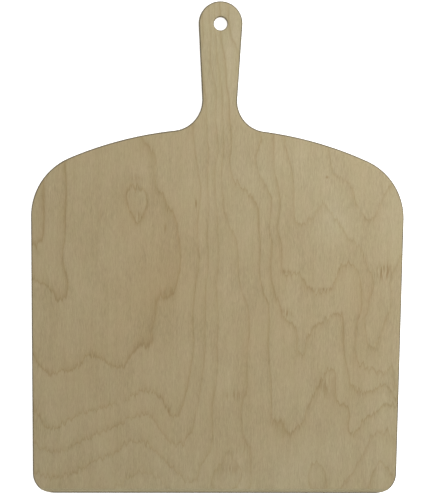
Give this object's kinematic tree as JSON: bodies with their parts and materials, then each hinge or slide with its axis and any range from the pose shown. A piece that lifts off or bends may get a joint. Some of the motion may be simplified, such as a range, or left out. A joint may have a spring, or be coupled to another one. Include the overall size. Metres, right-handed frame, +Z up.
{
  "type": "pizza peel",
  "caption": "Flat wooden pizza peel of laminated veneers, with parallel sides, rounded shoulders, a short flared handle, a hang hole and a bevelled front edge.",
  "frame": {"origin": "under the middle of the outline's bounding box, on the face that it rests on", "axes": "+Z up through the thickness, out of the face that carries the pizza; +Y from the bevelled front edge to the handle; +X to the right, seen from above with the handle away"},
  "size_m": [0.38, 0.506, 0.0065],
  "materials": {
    "birch_face": "peeled birch, sanded, uncoated, matt, grain along the handle",
    "birch_back": "peeled birch, sanded, uncoated, matt, grain along the handle",
    "birch_core": "peeled birch, raw edge, grain along the handle",
    "birch_crossband": "peeled birch, raw edge, grain across the blade",
    "glue_line": "cured resin film, dark brown, matt"
  },
  "bodies": {
    "root": {"back_veneer": "birch_back", "glue_film_back": "glue_line", "lower_crossband": "birch_crossband", "glue_film_lower": "glue_line", "core_veneer": "birch_core", "glue_film_upper": "glue_line", "upper_crossband": "birch_crossband", "glue_film_face": "glue_line", "face_veneer": "birch_face"}
  },
  "joints": []
}
